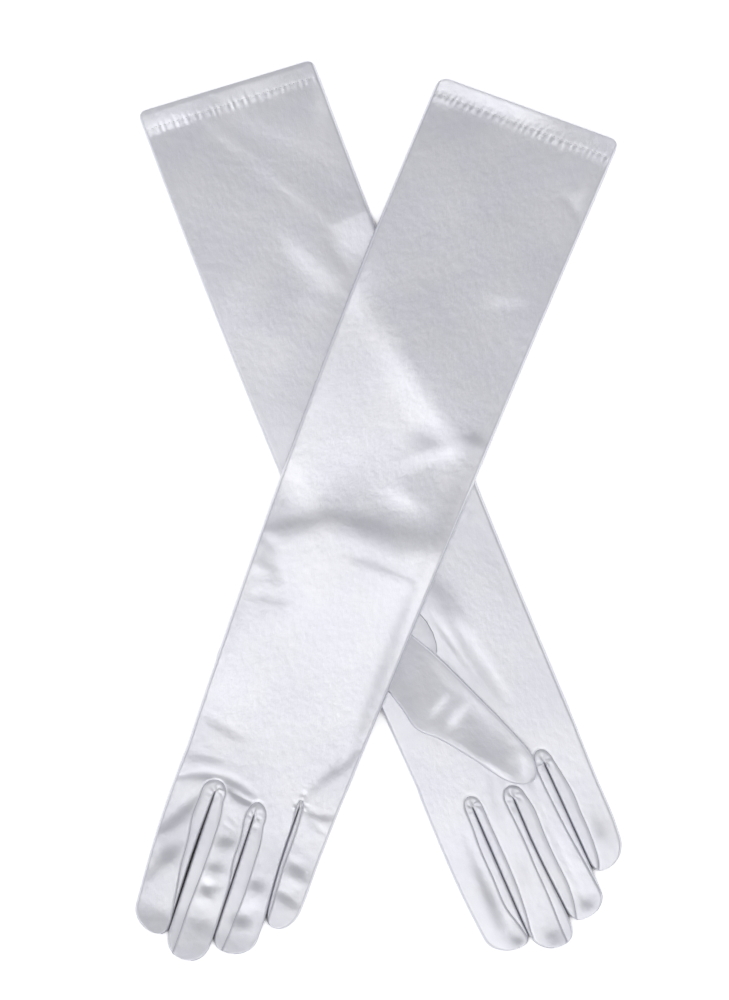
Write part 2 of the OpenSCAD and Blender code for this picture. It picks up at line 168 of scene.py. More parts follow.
def through(points, s):
    """A smooth line through a few (s, value) points."""
    xs = np.array([p[0] for p in points], float)
    ys = np.array([p[1] for p in points], float)
    slopes = np.gradient(ys, xs)
    s = np.clip(s, xs[0], xs[-1])
    k = np.clip(np.searchsorted(xs, s, side="right") - 1, 0, len(xs) - 2)
    h = xs[k + 1] - xs[k]
    t = (s - xs[k]) / h
    return (
        (2 * t**3 - 3 * t**2 + 1) * ys[k] + (t**3 - 2 * t**2 + t) * h * slopes[k]
        + (3 * t**2 - 2 * t**3) * ys[k + 1] + (t**3 - t**2) * h * slopes[k + 1]
    )


def place(g, s, u):
    """Table position (x, y) of the point s along and u across glove g."""
    a = BEND * s / GLOVE_LEN
    f = (ARC_R - u) * np.sin(a)
    c = ARC_R - (ARC_R - u) * np.cos(a)
    al, ac = along(HEAD[g]), across(HEAD[g])
    return CUFF_AT[g][0] + al[0] * f + ac[0] * c, CUFF_AT[g][1] + al[1] * f + ac[1] * c


def unplace(g, x, y):
    """(s, u) on glove g of a table position."""
    al, ac = along(HEAD[g]), across(HEAD[g])
    dx, dy = x - CUFF_AT[g][0], y - CUFF_AT[g][1]
    f, c = dx * al[0] + dy * al[1], dx * ac[0] + dy * ac[1]
    return np.arctan2(f, ARC_R - c) * GLOVE_LEN / BEND, ARC_R - np.hypot(f, ARC_R - c)


def half_w(g, s):
    return (CUFF_W[g] - (CUFF_W[g] - KNUCKLE_W[g]) * np.clip(s / KNUCKLE_S, 0, 1) ** 1.7) / 2


def outside_right(x, y):
    s, u = unplace(RIGHT, x, y)
    return np.abs(u) - half_w(RIGHT, s)


def under(g, s, u):
    """Height of what a glove lies on: the table, the other glove, its own thumb."""
    if g == RIGHT:
        return np.zeros(np.broadcast(s, u).shape)
    lift = LIFT * (1 - ramp((outside_right(*place(g, s, u)) - LIFT_MARGIN) / LIFT_FALL))
    thumb = (THUMB_T + 0.4) * ramp((s - WRIST + 30) / 32)
    thumb = thumb * (1 - ramp((s - 468) / 40)) * (1 - ramp((u - 26) / 22))
    return (lift**4 + thumb**4) ** 0.25


def thickness(g, s):
    t = mix(SLEEVE_T, FOREARM_T[g], ramp((s - 20) / 60))
    t = mix(t, HAND_T, ramp((s - WRIST) / 30))
    t = mix(t, FINGER_T + 0.6, ramp((s - 410) / 30))
    return mix(MOUTH_T, t, ramp((s + 1) / 17))


def rolled(d, r):
    """Roundness of an edge: 0 at the edge, 1 from r inside it."""
    q = 1 - np.clip(d / r, 0, 1)
    return np.sqrt(np.clip(1 - q * q, 0, 1))


# ---------------------------------------------------------------- folds of the cloth
def fold(s, u, a, b, width, height, bow=0.0):
    """A soft ridge, or with a negative height a valley, from a to b, fading at both ends.
    bow curves it sideways."""
    ds, du = b[0] - a[0], b[1] - a[1]
    size = math.hypot(ds, du)
    t = ((s - a[0]) * ds + (u - a[1]) * du) / size**2
    d = ((u - a[1]) * ds - (s - a[0]) * du) / size
    c = np.clip(t, 0, 1)
    d = d - bow * 4 * c * (1 - c)
    fade = ramp((t + 0.18) / 0.55) * ramp((1.18 - t) / 0.55)
    w = width * (0.55 + 0.45 * fade)
    return height * np.exp(-((d / w) ** 2)) * fade


def dent(s, u, at, size, turn, height):
    """An oval bump or dent."""
    c, n = math.cos(math.radians(turn)), math.sin(math.radians(turn))
    a = (s - at[0]) * c + (u - at[1]) * n
    b = -(s - at[0]) * n + (u - at[1]) * c
    return height * np.exp(-((a / size[0]) ** 2) - (b / size[1]) ** 2)


def waves(s, u):
    """Very shallow unevenness of hand-laid cloth."""
    return (
        0.10 * np.sin(s / 23 + u / 31 + 0.6) + 0.05 * np.sin(s / 13 - u / 17 + 2.1)
        + 0.05 * np.sin(u / 9.5 + s / 41 + 4.0) + 0.012 * np.sin(s / 6.1 + u / 7.7)
        + 0.006 * np.sin(s / 2.7 - u / 3.1)
    )


def pucker_wave(g, u):
    return np.sin(2 * math.pi * u / 4.3 + 1.6 * np.sin(u / 7.3 + g)) + 0.5 * np.sin(2 * math.pi * u / 2.9 + g)


def hem_relief(g, s, u):
    """The pull of the elastic and stitching on the cloth: a groove, and puckers across it."""
    uneven = 0.6 + 0.4 * np.sin(u / 11.0 + 1.3 * g) * np.sin(u / 27.0 + 0.8)
    wave = pucker_wave(g, u)
    puckers = 0.09 * np.exp(-(((s - HEM - 0.5) / 3.0) ** 2)) * wave * uneven
    groove = -0.05 * np.exp(-(((s - HEM) / 0.9) ** 2))
    return puckers + groove


# Creases and dents as real shape: (from, to, width, height, bow) and (at, size, turn, height)
FOLDS = {
    LEFT: [
        ((410, -46), (416, -18), 2.6, -0.1), ((437, -50), (432, -26), 2.8, -0.12, 1.5),
        ((451, -50), (448, 4), 3, -0.22, 8.5), ((447, -17), (450, 1), 1.8, -0.3, -1),
        ((455, -34), (486, -50), 3.4, -0.35, 2), ((434, 27), (402, 40), 2.6, -0.16, -2),
        ((443, 30), (439, 50), 2.8, -0.22, -2), ((446, 33), (453, 46), 2.4, -0.1),
        ((390, 50), (420, 35), 2.8, -0.2, 2), ((461, -13), (466, -4), 1.2, -0.08),
        ((467, -14), (470, -5), 1.2, -0.08), ((503, -14), (513, -3), 2.6, -0.25),
        ((474, 31), (483, 47), 3.6, -0.25), ((494, 31), (500, 47), 3, -0.25),
        ((296, -56), (316, -34), 3, -0.16, 3), ((325, -54), (318, -30), 2.6, -0.1, 2),
        ((340, -44), (334, -20), 2.4, -0.06), ((40, 36), (53, 56), 2.6, -0.12, 2),
    ],
    RIGHT: [
        ((341, -2), (368, 3), 2, -0.18), ((346, 1), (400, 12), 2.2, -0.24, -1),
        ((344, 8), (406, 20), 3.4, -0.16), ((490, -38), (538, -38), 3.4, -0.25),
        ((470, -36), (500, -37), 2.4, -0.12), ((474, 12), (536, 13), 2, -0.1),
        ((440, -8), (470, -13), 2.4, -0.08), ((446, -14), (454, -17), 2, -0.1),
        ((448, 12), (464, 14), 2.2, -0.1),
    ],
}
DENTS = {
    LEFT: [
        ((495, -38), (5, 7), 25, -0.25), ((511, -46), (8, 3.5), 0, -0.2), ((476, -8), (3.5, 4.5), 20, -0.3),
        ((496, 18), (3.2, 5), 0, -0.22), ((518, 16), (4, 5), 20, -0.35), ((457, 5), (1.6, 1.6), 0, -0.2),
        ((463, 5), (1.4, 1.6), 0, -0.15), ((434.5, 26), (1.8, 1.8), 0, -0.3),
    ],
    RIGHT: [
        ((540, -33), (2.5, 2.5), 0, -0.25), ((547, -12), (5, 5), 0, -0.2), ((537, 14), (4, 3), 0, -0.2),
        ((500, 40), (6, 4), 0, -0.1), ((530, -27), (3, 3), 0, -0.15), ((467, -3), (2, 2), 0, -0.25),
    ],
}
# How far the lay of the cloth leans towards the fingers, in degrees: same layout
LEAN_FOLDS = {
    LEFT: [
        ((231, 10), (204, 46), 5, 3.6, 2), ((250, -54), (276, -30), 10, 2.6),
        ((257, 54), (270, -8), 8, -2.7, 3), ((265, 14), (272, -26), 5.5, -2.2, 1),
        ((268, -12), (295, -56), 4.6, -2.6, 1), ((279, -28), (295, -56), 2.6, -1.6),
        ((267, 32), (272, -16), 4.4, -1.2), ((280, 44), (410, 46), 4, -2.6), ((300, -50), (380, -46), 3, -0.8),
        ((292, -4), (291, 46), 2.4, -3.4, 1), ((296, -60), (306, -36), 3.2, -3),
        ((306, -54), (322, -30), 4, -3.4), ((336, -46), (330, -20), 3.4, -2.8),
        ((119, 18), (109, 44), 3.4, 1.8), ((120, -52), (160, -54), 12, 1.5),
        ((437, -54), (432, -24), 3.2, -2.2, 1.5), ((452, -52), (448, 8), 3.2, -3.2, 8),
        ((446, -20), (451, 3), 2.2, -9, -1), ((453, -32), (487, -52), 3.6, -6.5, 2),
        ((443, 28), (438, 52), 3.6, -3.6, -2), ((434, 26), (402, 40), 2.8, -2.6, -2),
        ((487, -33), (517, -49), 4, -4.2), ((411, -50), (417, -14), 3, -2.4),
        ((388, 51), (422, 35), 3, -2.8, 2),
    ],
    RIGHT: [
        ((10, -23), (46, -3), 3.4, 1.6), ((36, -8), (100, 29), 3.6, 1.9), ((8, -7), (38, 16), 5.5, 1.4),
        ((28, 9), (66, 49), 6.5, 1.6), ((96, 0), (144, 22), 6.5, 4.2, -2), ((104, 20), (138, 29), 3.5, -1.4),
        ((134, -6), (150, 10), 8, 1.5), ((110, -48), (190, -44), 16, 1.2), ((316, 4), (354, 14), 7, -4.6),
        ((290, 44), (420, 46), 5, -0.6), ((338, -5), (400, 9), 2.8, 2.2), ((338, -14), (370, -6), 6, 1),
        ((344, 2), (408, 16), 2, -3.4), ((350, 11), (414, 23), 3.4, 1.6), ((440, -8), (472, -13), 3, -1.2),
    ],
}
LEAN_DENTS = {
    LEFT: [
        ((248, 19), (6, 13), -8, 4.2), ((246, 48), (22, 6), 0, -1.8), ((38, 49), (6, 4), 0, 2),
        ((15.5, -50), (3, 8), 0, 2.6), ((197, 46), (3.5, 6), 0, -4.5), ((210, 21), (5, 12), -12, -1.9),
        ((492, -38), (5, 7), 25, -4.6), ((476, -8), (4, 6), 30, -7), ((479, 39), (4.5, 8), 0, -6),
        ((494, -9), (3.2, 5), 15, -7.5), ((508, -8), (3, 6), 30, -9), ((530, -6), (4, 7), 0, -3),
        ((495, 18), (3.2, 5), 10, -7.5), ((518, 16), (3.8, 6), 20, -8), ((497, 38), (3.5, 8), 0, -5.5),
        ((503, -9), (2.5, 6), 0, 3), ((515, -9), (4, 6), 0, 2), ((487, 38), (3, 8), 0, 2.5),
        ((508, 19), (4, 5), 0, 2.5),
    ],
    RIGHT: [
        ((30, 50), (16, 6), -20, 2.2), ((118, 42), (14, 10), 0, 1.4), ((160, -28), (16, 12), 0, 0.8),
        ((118, -34), (14, 14), 0, 1), ((75, 44), (10, 6), 0, 1), ((206, -44), (26, 14), 0, 1.4),
        ((510, -38), (24, 4), 0, -8), ((540, -33), (5, 4.5), 0, -9), ((547, -12), (7, 7), 0, -7.5),
        ((538, 14), (5, 6), 0, -7), ((500, 40), (9, 5), 0, -4.5), ((506, -14), (9, 5), 0, -2.5),
    ],
}


def shapes(s, u, folds, dents):
    h = 0.0
    for f in folds:
        h = h + fold(s, u, *f)
    for d in dents:
        h = h + dent(s, u, *d)
    return h


def lean(g, s, u):
    """Lean of the cloth towards the fingers in degrees, from the way it is draped."""
    a = shapes(s, u, LEAN_FOLDS[g], LEAN_DENTS[g])
    tick = pucker_wave(g, u + 0.25 * (s - HEM)) * (0.8 + 0.2 * np.sin(u / 8.0 + 2 * g))
    a = a + (3.0 if g == LEFT else 2.0) * tick * np.exp(-(((s - HEM - 0.8) / 3.0) ** 2))
    if g == LEFT:
        # over the crossing: a bright slope below a diagonal line, then the fall towards the hand
        below = s - (138 + (u + 45) * 0.70)
        zone = 2.7 * ramp(below / 16) * (1 - ramp((s - 226 - 22 * ramp((-8 - u) / 24)) / 34))
        zone = zone * (1 - 0.85 * ramp((u - 2) / 22) * ramp((s - 196) / 10))
        ridge = 1.7 * np.exp(-(((below - 16) / 13) ** 2)) * ramp((u + 44) / 30) * ramp((46 - u) / 14)
        edge = 273 + 17 * ramp((-14 - u) / 30) - 8 * ramp((u - 28) / 18)
        fall = 3.0 * ramp((s - edge) / 12) * (1 - 0.5 * ramp((s - 300) / 70)) * (1 - ramp((s - 385) / 60))
        a = a + zone + ridge + fall + 0.6 * (1 - ramp((s - 110) / 60)) - 1.2 * ramp((s - 455) / 20)
        hem = ramp((s + 0.3) / 2.0) * (1 - ramp((s - 7) / 4)) * (0.35 + 0.65 * ramp((26 - u) / 34))
        a = a + 6.4 * hem + 2.2 * ramp((s - 8) / 3) * (1 - ramp((s - 14) / 4))
        # the fingertips turn down: from s, by how many degrees, the finger's middle
        for start, most, centre in ((524, -5.0, -38), (520, -2.8, -11), (522, -2.6, 15), (508, -1.0, 39)):
            a = a + most * ramp((s - start) / 12) * (np.abs(u - centre) < 13)
    else:
        a = a + 0.8 * ramp((s - 240) / 50) - 1.4 * (1 - ramp((s - 0.4) / 2.2)) * ramp((u + 45) / 20)
        hem = 2.9 + 0.7 * np.sin(u / 9.0) + 2.8 * ramp((-22 - u) / 8) * ramp((s - 5) / 4)
        a = a + ramp((s - 1.6) / 2) * (1 - ramp((s - 13) / 4)) * hem
        a = a + 3.4 * ramp((s - 100.0) / 2.5) * (1 - ramp((s - 112) / 20)) * ramp((u - 25) / 9)
    return a


def label_print(g, s, u):
    """The care label inside the cuff, just showing through the cloth above it."""
    if g == LEFT:
        return 0.0
    inside = np.minimum(6.3 - np.abs(s - 94.5), 13.5 - np.abs(u - 38.5))
    return 0.035 * ramp(inside / 1.4)


def gathers(g, s, u):
    """Small crinkles where the cloth is sewn tight at each crotch."""
    h = 0.0
    for k, c in enumerate(CROTCHES[g]):
        a, b = s - c["start"] + 0.5, u - float(through(c["line"], c["start"])) - 0.6
        r = np.hypot(a, b)
        turn = np.arctan2(b, a)
        star = np.sin(5 * turn + 0.9 * r + 1.7 * k + g)
        h = h + (0.30, 0.46)[g] * star * np.exp(-((r / 3.6) ** 2)) * ramp(r / 1.2)
    return h


def relief(g, s, u):
    h = waves(s, u) + hem_relief(g, s, u) + label_print(g, s, u) + gathers(g, s, u)
    return h + shapes(s, u, FOLDS[g], DENTS[g])


# ---------------------------------------------------------------- outline of the fingers
def slit_u(g, k, s):
    return through(CROTCHES[g][k]["line"], s)


def slit_gap(g, k, s):
    c = CROTCHES[g][k]
    end = c["line"][-1][0]
    f = np.clip((s - c["start"]) / (end - c["start"]), 0, 1)
    gap = GAP * ramp((s - c["start"]) / 4) + (c["gap"] - GAP) * np.sin(math.pi * f) ** 1.3
    return np.where(s > c["start"], gap, 0.0)


def tip_q(g, i, s):
    return np.clip((s - TIPS[g][i] + TIP_LEN[g][i]) / TIP_LEN[g][i], 0, 1)


def finger_sides(g, i, s):
    """Both side edges of finger i, closing round its tip."""
    lo = through(OUTER[g][0], s) if i == 0 else slit_u(g, i - 1, s) + slit_gap(g, i - 1, s) / 2
    hi = through(OUTER[g][1], s) if i == 3 else slit_u(g, i, s) - slit_gap(g, i, s) / 2
    q = tip_q(g, i, s)
    c = (lo + hi) / 2 + TIP_SIDE[g][i] * q**2
    half = (hi - lo) / 2
    close = np.clip(1 - q**2.5, 0, 1) ** (1 / 2.2)
    return c - half * close, c + half * close


def crotches_of(i):
    """The crotches beside finger i: their number, and if it is on the little finger's side."""
    return [(k, k == i) for k in (i - 1, i) if 0 <= k <= 2]


def seam_u(g, i, towards_little, s):
    """The seam between a finger's outer panel and the strip on one side of it."""
    lo, hi = finger_sides(g, i, s)
    k = i if towards_little else i - 1
    if k not in (0, 1, 2):
        return hi if towards_little else lo
    c = CROTCHES[g][k]
    w = through(c["index" if towards_little else "little"], s)
    arch = np.sqrt(np.clip(1 - (np.clip(c["start"] - s, 0, None) / c["arch"]) ** 2, 0, 1))
    w = w * np.where(s < c["start"], arch, 1)
    line = slit_u(g, k, s)
    return np.clip(line - w if towards_little else line + w, lo, hi)


def seam_distance(g, k, s, u):
    """Distance to the two seams and the arch at crotch k."""
    c = CROTCHES[g][k]
    line = slit_u(g, k, s)
    side = np.where(u < line, through(c["index"], s), through(c["little"], s))
    rho = np.hypot((s - c["start"]) / c["arch"], (u - line) / side)
    before = np.abs(rho - 1) * np.minimum(c["arch"], side)
    after = np.abs(np.abs(u - line) - side)
    return np.where(s < c["start"], before, after)


def roundness(g, s, u, i=None, shade=False):
    """0 at every edge of the cloth tube and 1 away from them, for the hand or for finger i.
    With shade, its rims are narrower and its tip isn't round."""
    roll = EDGE_ROLL * (SHADE_ROLL if shade else 1.0)
    if i is None:
        w = half_w(g, s)
        return rolled(u + w, roll) * rolled(w - u, roll)
    lo, hi = finger_sides(g, i, s)
    q = 0.0 if shade else tip_q(g, i, s)
    f = np.sqrt(np.clip(1 - q * q, 0, 1))
    for k, d in ((i - 1, u - lo), (i, hi - u)):
        if k < 0 or k > 2:
            f = f * rolled(d, roll)
            continue
        c = CROTCHES[g][k]
        start = c["start"]
        d = np.where(s < start, np.hypot(s - start, u - slit_u(g, k, s)), d)
        r = mix(0.62, 0.86, ramp((s - start) / 22))
        f = f * rolled(d, r if shade else r * c["roll"])
    return f


def heights(g, s, u, i=None, shade=False):
    """(bottom, top) height of the cloth tube. With shade, without its slow rise and fall."""
    f = roundness(g, s, u, i, shade)
    low = 0.0 if shade else under(g, s, u)
    t = np.full(np.broadcast(s, u).shape, HAND_T) if shade else thickness(g, s)
    if i is not None and not shade:
        t = mix(t, FINGER_T - 1.2, ramp((s - TIPS[g][i] + 30) / 30))
    groove = 0.0
    if i is not None:
        for k, c in enumerate(CROTCHES[g]):
            sewn = np.exp(-((seam_distance(g, k, s, u) / 0.6) ** 2))
            groove = groove + 0.28 * sewn * (s > c["start"] - 12)
    x = np.clip(np.abs(u) / half_w(g, s), 0, 1)
    crown = t * (1 - 0.02 * x * x)
    top = low + crown * (0.5 + 0.5 * f) + (relief(g, s, u) - groove) * f
    bottom = low + 0.05 + crown * (0.5 - 0.5 * f) + 0.6 * groove * f
    return bottom, top


# ---------------------------------------------------------------- meshes
def quads(rows, cols, flip):
    r, c = np.meshgrid(np.arange(rows - 1), np.arange(cols - 1), indexing="ij")
    a = (r * cols + c).ravel()
    q = np.stack([a, a + cols, a + cols + 1, a + 1], 1)
    return q[:, ::-1] if flip else q


class Patch:
    """A grid of points with its cloth coordinates. shade and lean steer its normals."""

    def __init__(self, points, cloth, flip, shade=None, lean=None):
        rows, cols = points.shape[:2]
        self.points = points.reshape(-1, 3)
        self.shade = self.points if shade is None else shade.reshape(-1, 3)
        self.lean = lean
        self.cloth = cloth.reshape(-1, 2)
        self.faces = quads(rows, cols, flip)


def equal_points(points):
    """The first of each set of equal points, and the number of the set that each point is in."""
    key = np.round(points / SAME).astype(np.int64)
    _, first, back = np.unique(key, axis=0, return_index=True, return_inverse=True)
    return first, back.ravel()


def weld(points, faces):
    """Joins equal points, and drops faces that have closed up."""
    first, back = equal_points(points)
    out = []
    for f in back[faces].tolist():
        g = [v for n, v in enumerate(f) if v != f[n - 1]]
        if len(set(g)) == len(g) and len(g) > 2:
            out.append(g)
    return first, out


def shared_normals(pieces):
    """Point normals of several lists of patches as if they were one cloth, weighted by area."""
    patches = [p for piece in pieces for p in piece]
    back = equal_points(np.concatenate([p.points for p in patches]))[1]
    total = np.zeros((back.max() + 1, 3))
    start = 0
    for p in patches:
        a, b, c, d = (p.shade[p.faces[:, k]] for k in range(4))
        n = np.cross(c - a, d - b)
        ids = back[start : start + len(p.points)]
        for k in range(4):
            np.add.at(total, ids[p.faces[:, k]], n)
        start += len(p.points)
    total /= np.maximum(np.linalg.norm(total, axis=1), 1e-9)[:, None]
    start = 0
    for p in patches:
        p.normals = total[back[start : start + len(p.points)]]
        if p.lean is not None:
            p.normals = p.normals + p.lean
            p.normals /= np.linalg.norm(p.normals, axis=1)[:, None]
        start += len(p.points)


def make_mesh(name, points, faces, mats, cloth, mat_ids=None, loop_normals=None):
    mesh = bpy.data.meshes.new(name)
    mesh.from_pydata((np.asarray(points) * MM).tolist(), [], faces)
    if mat_ids is not None:
        mesh.polygons.foreach_set("material_index", np.asarray(mat_ids, np.int32))
    for m in mats:
        mesh.materials.append(m)
    mesh.polygons.foreach_set("use_smooth", np.ones(len(mesh.polygons), bool))
    layer = mesh.uv_layers.new(name="cloth")
    loops = np.empty(len(mesh.loops), np.int32)
    mesh.loops.foreach_get("vertex_index", loops)
    layer.data.foreach_set("uv", (cloth[loops] * MM).astype(np.float32).ravel())
    mesh.update()
    if loop_normals is not None:
        mesh.normals_split_custom_set(loop_normals)
    obj = bpy.data.objects.new(name, mesh)
    bpy.context.scene.collection.objects.link(obj)
    return obj


def shell(name, patches, mats, thick=CLOTH):
    """A cloth piece from its outer patches, thickened inwards. mats are (outside, inside)."""
    start, faces = 0, []
    for p in patches:
        faces.append(p.faces + start)
        start += len(p.points)
    points = np.concatenate([p.points for p in patches])
    cloth = np.concatenate([p.cloth for p in patches])
    normals = np.concatenate([p.normals for p in patches])
    first, faces = weld(points, np.concatenate(faces))
    points, cloth, normals = points[first], cloth[first], normals[first]
    n = len(points)
    edges = {}
    for f in faces:
        for k in range(len(f)):
            e = (f[k - 1], f[k])
            edges[e] = edges.get(e, 0) + 1
    rim = [e for e in edges if (e[1], e[0]) not in edges]
    inner = [[v + n for v in reversed(f)] for f in faces]
    rims = [[b, a, a + n, b + n] for a, b in rim]
    all_points = np.concatenate([points, points - normals * thick])
    all_faces = faces + inner + rims
    ids = [0] * len(faces) + [1] * (len(inner) + len(rims))
    both = np.concatenate([normals, -normals])
    loops = [both[v] for f in faces + inner for v in f]
    for f in rims:
        flat = np.cross(all_points[f[2]] - all_points[f[0]], all_points[f[3]] - all_points[f[1]])
        flat /= max(np.linalg.norm(flat), 1e-9)
        loops += [flat] * 4
    cloth = np.concatenate([cloth, cloth])
    return make_mesh(name, all_points, all_faces, mats, cloth, ids, np.array(loops).tolist())


def tube(path, radius, sides=6):
    """Points and faces of a thread along a line of points."""
    keep = [0] + [k for k in range(1, len(path)) if np.linalg.norm(path[k] - path[k - 1]) > 1e-3]
    path = path[keep]
    way = np.gradient(path, axis=0)
    way /= np.maximum(np.linalg.norm(way, axis=1), 1e-9)[:, None]
    side = np.cross(way, [0.0, 0.0, 1.0])
    side /= np.maximum(np.linalg.norm(side, axis=1), 1e-9)[:, None]
    up = np.cross(side, way)
    a = np.arange(sides) * 2 * math.pi / sides
    ring = np.cos(a)[None, :, None] * side[:, None] + np.sin(a)[None, :, None] * up[:, None]
    points = (path[:, None] + radius * ring).reshape(-1, 3)
    last = (len(path) - 1) * sides
    faces = []
    for r in range(0, last, sides):
        for k in range(sides):
            j = (k + 1) % sides
            faces.append([r + k, r + j, r + sides + j, r + sides + k])
    faces.append(list(range(sides))[::-1])
    faces.append(list(range(last, last + sides)))
    return points, faces


def thread(name, lines, radius, mat):
    """One piece of thread along several lines of points."""
    points, faces = [], []
    for line in lines:
        start = sum(len(p) for p in points)
        p, f = tube(line, radius)
        points.append(p)
        faces += [[v + start for v in q] for q in f]
    points = np.concatenate(points)
    return make_mesh(name, points, faces, [mat], points[:, :2])


# ---------------------------------------------------------------- the cloth of one glove
def spaced(n):
    """n steps from 0 to 1, closer together at both ends."""
    t = np.linspace(0, 1, n + 1)
    return t - 0.85 * np.sin(2 * math.pi * t) / (2 * math.pi)


def skin_points(g, s, u, i=None, shade=False):
    bottom, top = heights(g, s, u, i, shade)
    slant = CUFF_SLANT[g] * u / half_w(g, s) * np.clip(1 - s / 60, 0, None)
    corner = 0.0
    for side, r in zip((-1, 1), CORNER_R[g]):
        d = np.clip(r - (half_w(g, s) - side * u), 0, r)
        corner = corner + (r - np.sqrt(r * r - d * d)) * np.clip(1 - s / 16, 0, None)
    x, y = place(g, s + slant + corner, u)
    cloth = np.stack([u, s], -1)
    return np.stack([x, y, top], -1), np.stack([x, y, bottom], -1), cloth


def tube_columns(g):
    """Places across the hand at the split, as shares of its half width."""
    s, w = SPLIT[g], half_w(g, SPLIT[g])
    us = [-w]
    for i in range(4):
        lo = seam_u(g, i, False, s) if i else -w
        hi = seam_u(g, i, True, s) if i < 3 else w
        us += list(mix(lo, hi, spaced(PANEL_N))[1:])
    return np.array(us) / w


def skin_patches(g, s, u, points_at, i=None):
    """The upper and the lower cloth. The upper one's normals are leaned."""
    top, bottom, cloth = points_at(g, s, u, i)
    shade = points_at(g, s, u, i, True)[0]
    return [Patch(top, cloth, False, shade, lean_vectors(g, s, u)), Patch(bottom, cloth, True)]


def tube_patches(g, rows, fine=False):
    """The cloth of a sleeve or hand, with fine on a closer grid across."""
    x = tube_columns(g)
    if fine:
        steps = [(a, b, int((b - a) * CUFF_W[g] / 2 / 0.8) + 2) for a, b in zip(x, x[1:])]
        x = np.sort(np.concatenate([x] + [np.linspace(*step)[1:-1] for step in steps]))
    s, xs = np.meshgrid(rows, x, indexing="ij")
    u = xs * half_w(g, s)
    return skin_patches(g, s, u, skin_points)


def lean_vectors(g, s, u):
    h = HEAD[g] + BEND * s / GLOVE_LEN
    a = np.tan(np.radians(lean(g, s, u))) * roundness(g, s, u, shade=True)
    return np.stack([a * np.sin(h), -a * np.cos(h), 0 * h], -1).reshape(-1, 3)


def tube_rows(a, b):
    return np.linspace(a, b, int(math.ceil((b - a) / ROW_STEP)) + 1)


def finger_rows(g, i):
    rows = set(np.round(np.arange(SPLIT[g], 470.01, 1.0), 3))
    for c in CROTCHES[g]:
        top = c["start"] - c["arch"]
        rows |= {round(top + d, 3) for d in (0, 0.12, 0.35, 0.7)}
    tip, size = TIPS[g][i], TIP_LEN[g][i]
    rows |= set(np.round(np.linspace(470, tip - size, int((tip - size - 470) / 1.8) + 2), 3))
    rows |= {round(tip - size + size * math.sin(math.radians(a)), 3) for a in TIP_ANGLES}
    return np.array(sorted(rows))


def finger_patches(g, i):
    """Patches of a finger's panel, and of each strip with (towards the little finger, patches)."""
    rows = finger_rows(g, i)
    lo, hi = finger_sides(g, i, rows)
    a, b = seam_u(g, i, False, rows), seam_u(g, i, True, rows)
    blend = ramp((rows - SPLIT[g]) / SPLIT_BLEND)
    if i == 0:
        lo = a = mix(-half_w(g, rows), a, blend)
    if i == 3:
        hi = b = mix(half_w(g, rows), b, blend)

    def patch_pair(us, keep=slice(None)):
        s = np.repeat(rows[keep, None], us.shape[1], 1)
        return skin_patches(g, s, us[keep], finger_points, i)

    panel = patch_pair(mix(a[:, None], b[:, None], spaced(PANEL_N)[None]))
    t = 1 - np.cos(np.linspace(0, math.pi / 2, STRIP_N + 1))
    strips = []
    for k, towards_little in crotches_of(i):
        c = CROTCHES[g][k]
        edge, seam = (hi, b) if towards_little else (lo, a)
        edge = np.where(rows < c["start"], slit_u(g, k, rows), edge)
        us = mix(edge[:, None], seam[:, None], t[None])
        us = us[:, ::-1] if towards_little else us
        strips.append((towards_little, patch_pair(us, rows >= c["start"] - c["arch"] - 1e-6)))
    return panel, strips


def finger_points(g, s, u, i, shade=False):
    """Points of finger i, which starts in the hand's shape at the split."""
    finger = skin_points(g, s, u, i, shade)
    hand = skin_points(g, s, u, None, shade)
    blend = ramp((s - SPLIT[g]) / SPLIT_BLEND)
    for own, joined in zip(finger[:2], hand[:2]):
        own[..., 2] = mix(joined[..., 2], own[..., 2], blend)
    return finger


# ---------------------------------------------------------------- materials
def new_material(name):
    m = bpy.data.materials.new(name)
    m.use_nodes = True
    return m, m.node_tree.nodes, m.node_tree.links, m.node_tree.nodes["Principled BSDF"]


def put(node, values):
    for name, value in values.items():
        node.inputs[name].default_value = value


def map_range(tree, source, target, old, new):
    """Links source to target through a node that turns the range old into the range new."""
    node = tree.nodes.new("ShaderNodeMapRange")
    put(node, dict(zip(("From Min", "From Max", "To Min", "To Max"), old + new)))
    tree.links.new(source, node.inputs["Value"])
    tree.links.new(node.outputs["Result"], target)
    return node


